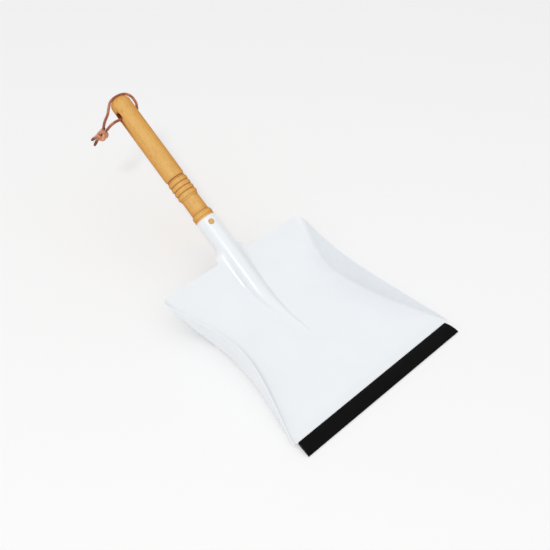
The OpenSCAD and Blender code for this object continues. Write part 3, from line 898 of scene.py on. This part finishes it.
# %% The handle
GRIP_R, NECK_R, SHANK_R, SHANK_LEN, HANDLE_LEN = 12, 10.5, 10.5, 36, 171
BEAD_N, BEAD_PITCH, FIRST_BEAD, BEAD_ARC = 4, 6, 34, 4.5
CHAMFER, DOME_R, SHOULDER = 1.2, 8, 5
LEAST_STEP = 0.02                          # stations closer than this are left out, as they make slivers

# From the shank's inner end to the face that sits on the socket
profile = [(-SHANK_LEN, SHANK_R - CHAMFER), (-SHANK_LEN + CHAMFER, SHANK_R), (-0.05, SHANK_R)]
profile += [(0, SHANK_R + 0.05), (0, 11.6)]
profile += arc(0.5, 11.6, 0.5, 180, 90, 4)
# A fine groove, the ring and its hollow foot
profile += [(1.8, 12.1), (2.1, 11.9), (2.35, 11.85), (2.6, 12.0)]
profile += arc(5.0, 7.95, 4.5, 118, 52, 12)
profile += arc(9.6, 12.2, 1.7, 235, 270, 5)
# The neck, which narrows a little, and the step before the beads
profile += [(14, NECK_R), (20, NECK_R - 0.05), (28, NECK_R - 0.1)]
profile += [(29.2, 10.45), (29.5, 10.75), (30.0, 10.9), (30.6, 11.0), (31.0, 11.1)]
# The beads: equal arcs that meet in a sharp groove
bead_turn = math.degrees(math.asin(BEAD_PITCH / 2 / BEAD_ARC))
for k in range(BEAD_N):
    middle = FIRST_BEAD + k * BEAD_PITCH
    profile += arc(middle, GRIP_R + 0.1 - BEAD_ARC, BEAD_ARC, 90 + bead_turn, 90 - bead_turn, 10)
# The grip, with a hair of swell in its middle, and its domed end
profile += [(55.4, 11.15), (55.9, 11.3)]
profile += arc(60.5, GRIP_R - SHOULDER, SHOULDER, 154, 90, 8)
profile += [(75, GRIP_R), (95, GRIP_R + 0.02), (120, GRIP_R + 0.02), (145, GRIP_R), (158, GRIP_R - 0.02)]
profile += arc(HANDLE_LEN - DOME_R, GRIP_R - DOME_R, DOME_R, 90, 8, 16)
profile += [(HANDLE_LEN, GRIP_R - DOME_R - 1.5), (HANDLE_LEN, 0.8)]

stations = [profile[0]]
for s, r in profile[1:]:
    if abs(s - stations[-1][0]) + abs(r - stations[-1][1]) > LEAST_STEP:
        stations.append((s, r))
handle = turned("turned_handle", stations, 96)
print("the handle has", len(stations), "rings")

# %% [markdown]
# ## The hole for the thong
# The hole is drilled right across the handle while it still stands upright at the origin, which keeps the
# drill's place simple. Its mouths are eased with a bevel so that they don't cut the leather. Shade is painted
# into the grooves and into the hole: a number on each point, 0 for plain wood and 1 for full painted shade,
# tells the beech where to darken. A groove is found from the profile itself: its radius is less than on both
# sides.

# %% The hole
HOLE_D, HOLE_BEVEL = 10, 1.1
bpy.ops.mesh.primitive_cylinder_add(vertices=64, radius=HOLE_D / 2 * MM, depth=DRILL_LEN * MM)
drill = new_piece("drill")
put(drill, Vector((0, 0, HOLE_S * MM)), Matrix.Rotation(math.pi / 2, 4, "Y"))
modify(handle, "BOOLEAN", operation="DIFFERENCE", object=drill, solver="EXACT")
bpy.data.objects.remove(drill)
modify(handle, "BEVEL", width=HOLE_BEVEL * MM, segments=4, limit_method="ANGLE", angle_limit=CUT_EDGE)
print("hole", HOLE_D, "mm across, at", HOLE_S, "mm from the socket")

# %% Painted shade in the grooves and in the hole
BESIDE, DEEP_GROOVE, GROOVE_SHADE = 0.9, 0.45, 0.8
GROOVES_FROM, GROOVES_TO = 1, 60


def radius_at(s):
    """The turned profile's radius at a station."""
    for (s_a, r_a), (s_b, r_b) in zip(stations, stations[1:]):
        if s_a <= s <= s_b and s_b > s_a:
            return r_a + (r_b - r_a) * (s - s_a) / (s_b - s_a)
    return 0.0


# Painted shade: full in the hole, and in a groove the darker the deeper it is
painted_shade = handle.data.attributes.new("painted_shade", "FLOAT", "POINT")
for v, value in zip(handle.data.vertices, painted_shade.data):
    s = v.co.z / MM
    if math.hypot(v.co.y / MM, s - HOLE_S) < HOLE_D / 2 + 0.3:
        value.value = 1.0
    elif GROOVES_FROM < s < GROOVES_TO:
        depth = (radius_at(s - BESIDE) + radius_at(s + BESIDE)) / 2 - radius_at(s)
        value.value = GROOVE_SHADE * smooth(depth / DEEP_GROOVE)
print(sum(value.value > 0.1 for value in painted_shade.data), "points of the handle are soaked")
put(handle, MOUTH * MM, TO_HANDLE)
finish_piece(handle, handle_beech, "root", "handle", angle=45)

# %% [markdown]
# ## The peg
# The peg is a short dowel driven through the socket and the shank, so that the handle can't turn or pull out.
# Its ends are trimmed a little proud of the socket and rounded over by sanding. It is turned in the same way
# as the handle, with few rings, and laid across it.

# %% The peg
PEG_R = PEG_D / 2
peg_profile = [(-12.1, 2.4), (-11.9, 3.0), (-11.6, PEG_R)]
peg_profile += [(11.5, PEG_R), (11.8, 3.1), (12.05, 2.6), (12.15, 1.2)]
peg = turned("beech_peg", peg_profile, 32)
put(peg, PEG_AT * MM, TO_PEG)
finish_piece(peg, peg_beech, "root", "peg", angle=50)

# %% [markdown]
# ## The rubber lip
# The lip is an extrusion with one section all along: a crowned back, a thin front edge that bends down to the
# ground, and a slot that grips the steel. The section is drawn by putting a circle's points on its outline,
# and it is extruded across the pan in short steps, as the die does. Its two ends are cut slightly oblique, so
# the lip is wider at its front edge than at the back.

# %% The rubber lip
LIP_W, LIP_FLARE, LIP_DEPTH, LIP_H, CROWN_R, CROWN_Y, LIP_STEPS = 222, 3, 17, 4.2, 23, -5, 74


def crown(y):
    """Height of the lip's back at y, counted from its rear edge, with the front below zero."""
    return LIP_H - CROWN_R + math.sqrt(CROWN_R ** 2 - (y - CROWN_Y) ** 2)


SLOT_FLOOR, SLOT_TOP = LIP_UNDER, LIP_UNDER + SHEET
outline = [(0, 0.35), (0, SLOT_FLOOR), (-TONGUE_L, SLOT_FLOOR), (-TONGUE_L, SLOT_TOP), (0, SLOT_TOP)]
outline += [(0, crown(0) - 0.5), (-0.15, crown(0) - 0.15), (-0.5, crown(-0.5))]
outline += [(y, crown(y)) for y in (-1.5, -3, -5, -7, -9, -11, -13, -14.5, -15.6, -16.2)]
outline += [(-16.6, crown(-16.6) - 0.1), (-16.9, 0.75), (-LIP_DEPTH, 0.5), (-16.9, 0.15), (-16.6, 0)]
outline += [(-12, 0), (-6, 0), (-0.35, 0), (-0.1, 0.1)]

bpy.ops.mesh.primitive_circle_add(vertices=len(outline), radius=1, fill_type="NGON")
lip = new_piece("rubber_lip")
for v, (y, z) in zip(lip.data.vertices, outline):
    v.co = Vector((-LIP_W / 2, FRONT_Y + y, z)) * MM
bpy.ops.object.mode_set(mode="EDIT")
bpy.ops.mesh.select_all(action="SELECT")
for _ in range(LIP_STEPS):
    bpy.ops.mesh.extrude_region_move(TRANSFORM_OT_translate={"value": (LIP_W / LIP_STEPS * MM, 0, 0)})
bpy.ops.object.mode_set(mode="OBJECT")
for v in lip.data.vertices:
    forward = (FRONT_Y - v.co.y / MM) / LIP_DEPTH
    v.co.x *= 1 + 2 * LIP_FLARE / LIP_W * forward
modify(lip, "BEVEL", width=0.15 * MM, segments=2, limit_method="ANGLE", angle_limit=math.radians(60))
finish_piece(lip, rubber, "root", "lip", angle=35)

# %% [markdown]
# ## Floor and light
# The pan stands on a pale floor in a white studio. One small soft light above and to the left gives the long
# highlight on the socket and the rib. The white surround does the rest: it is brighter overhead than near the
# horizon, as a studio with a lit ceiling is, so upright faces come out a little darker than the floor of the
# pan and its folds can be read. The plain Standard view keeps white close to white.

# %% Floor and light
FLOOR_SIZE, FLOOR_DROP = 6, 0.2 * MM       # m; the floor lies a hair below the pan, so they don't flicker
bpy.ops.mesh.primitive_plane_add(size=FLOOR_SIZE, location=(0, 0, -FLOOR_DROP))
floor = new_piece("studio_floor")
floor_paint, tree, shader = new_material("studio floor", "#f7f7f7", Roughness=0.9)
floor.data.materials.append(floor_paint)

world = bpy.data.worlds.new("studio")
bpy.context.scene.world = world
world.use_nodes = True
sky = world.node_tree
place = add(sky, "TexCoord")
height = add(sky, "SeparateXYZ", [("Vector", place, "Generated")])
fade = add(sky, "MapRange", [("Value", height, "Z")], From_Min=0.05, From_Max=0.75, To_Min=0.56, To_Max=0.9)
sky.links.new(fade.outputs["Result"], sky.nodes["Background"].inputs["Strength"])
sky.nodes["Background"].inputs["Color"].default_value = (1, 1, 1, 1)

KEY_AT, KEY_TOWARDS = Vector((-1.5, -1.07, 2.37)), Vector((0, 0.1, 0.03))
bpy.ops.object.light_add(type="AREA", location=KEY_AT)
key = bpy.context.object
key.name = "key"
key.data.size = 0.35
key.data.energy = 20
key.rotation_mode = "QUATERNION"
key.rotation_quaternion = (KEY_TOWARDS - KEY_AT).to_track_quat("-Z", "Y")
bpy.context.scene.view_settings.view_transform = "Standard"
print("key light", round((KEY_TOWARDS - KEY_AT).length, 2), "m from the pan")
